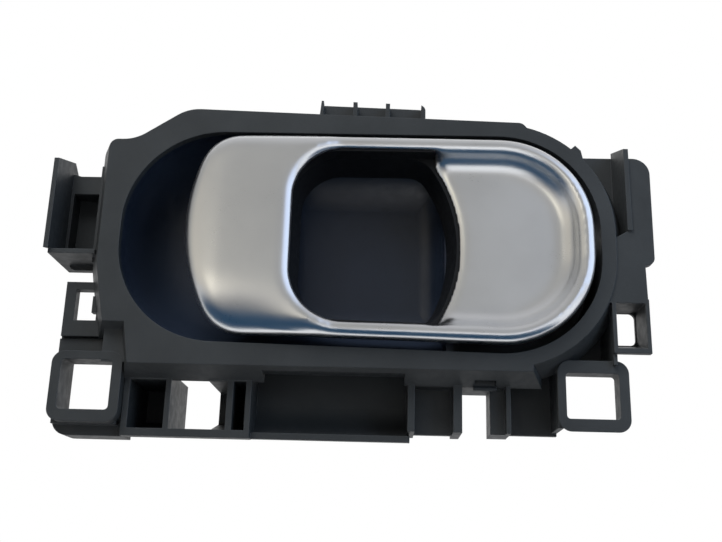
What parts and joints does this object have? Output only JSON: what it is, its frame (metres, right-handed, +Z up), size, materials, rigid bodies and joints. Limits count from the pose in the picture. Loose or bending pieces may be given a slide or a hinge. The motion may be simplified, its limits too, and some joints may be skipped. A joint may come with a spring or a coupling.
{
  "type": "car interior door handle",
  "caption": "Silver pull handle with a dished grip, hinged in a black moulded base with an oval flange, finger bowl and trim sockets.",
  "frame": {"origin": "centre of the oval opening, on the front face of the flange", "axes": "+X to the hinge end, +Y into the door, +Z up"},
  "size_m": [0.1791, 0.0457, 0.1043],
  "materials": {
    "base_plastic": "fine matte moulded black",
    "bowl_plastic": "smooth satin black",
    "silver_plating": "satin silver plating on moulded plastic",
    "carrier_plastic": "matte moulded black",
    "pin_steel": "zinc plated",
    "spring_steel": "drawn wire",
    "bumper_rubber": "soft matte"
  },
  "bodies": {
    "base": {"base_housing": "base_plastic", "finger_bowl": "bowl_plastic", "hinge_pin": "pin_steel", "pin_push_nut": "pin_steel", "return_spring": "spring_steel", "rest_bumpers": "bumper_rubber"},
    "handle": {"handle_shell": "silver_plating", "handle_carrier": "carrier_plastic"}
  },
  "joints": [
    {"name": "handle_pull", "type": "hinge", "parent": "base", "child": "handle", "pos_m": [0.0642, 0.0034, 0], "axis": [0, 0, 1], "range_deg": [0, 18], "stiffness_Nm_per_rad": 0.15, "springref_deg": -34.38, "deforming": ["return_spring"]}
  ]
}
